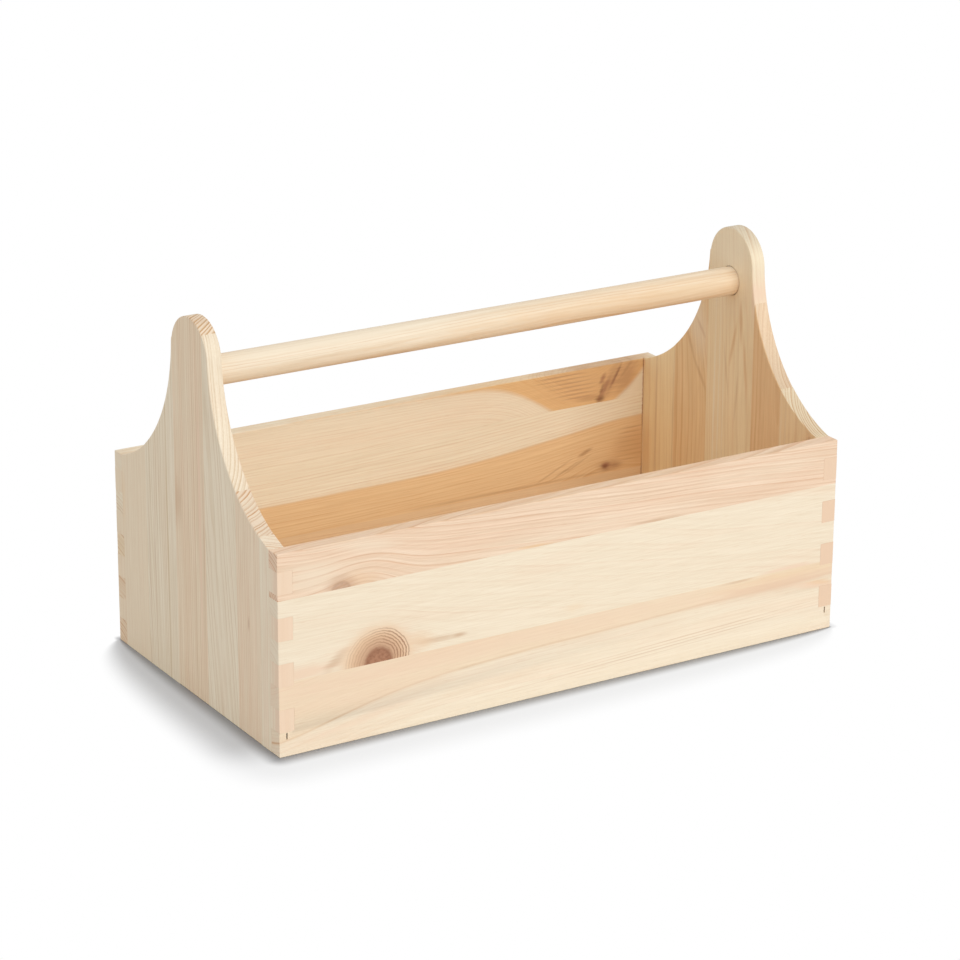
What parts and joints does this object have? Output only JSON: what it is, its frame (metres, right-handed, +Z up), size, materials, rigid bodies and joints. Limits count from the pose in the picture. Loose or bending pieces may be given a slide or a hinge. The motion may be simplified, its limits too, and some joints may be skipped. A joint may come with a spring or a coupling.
{
  "type": "tool tote",
  "caption": "Open wooden tool tote: finger-jointed box of edge-glued pine boards, two tall shaped ends and a round carrying handle held between them.",
  "frame": {"origin": "centre of the base outline, on the surface that the tote stands on", "axes": "+X along the length and the handle, +Y across the width towards the back wall, +Z up"},
  "size_m": [0.4, 0.213, 0.241],
  "materials": {
    "wall_pine": "bare planed pine, pale with pinkish heartwood, matt",
    "end_pine": "bare planed pine with upright grain, matt",
    "bottom_pine": "thin bare pine sheet, matt",
    "handle_pine": "turned bare pine, fine grain along its length, matt",
    "staple_wire": "fine steel wire"
  },
  "bodies": {
    "box": {"front_stave_lower": "wall_pine", "front_stave_middle": "wall_pine", "front_stave_upper": "wall_pine", "back_stave_lower": "wall_pine", "back_stave_middle": "wall_pine", "back_stave_upper": "wall_pine", "left_end_stave_1": "end_pine", "left_end_stave_2": "end_pine", "left_end_stave_3": "end_pine", "left_end_stave_4": "end_pine", "left_end_stave_5": "end_pine", "left_end_stave_6": "end_pine", "right_end_stave_1": "end_pine", "right_end_stave_2": "end_pine", "right_end_stave_3": "end_pine", "right_end_stave_4": "end_pine", "right_end_stave_5": "end_pine", "bottom_panel": "bottom_pine", "corner_staples": "staple_wire"},
    "handle": {"handle_rod": "handle_pine"}
  },
  "joints": [
    {"name": "handle_spin", "type": "hinge", "parent": "box", "child": "handle", "pos_m": [0, 0, 0.2058], "axis": [1, 0, 0], "continuous": true}
  ]
}
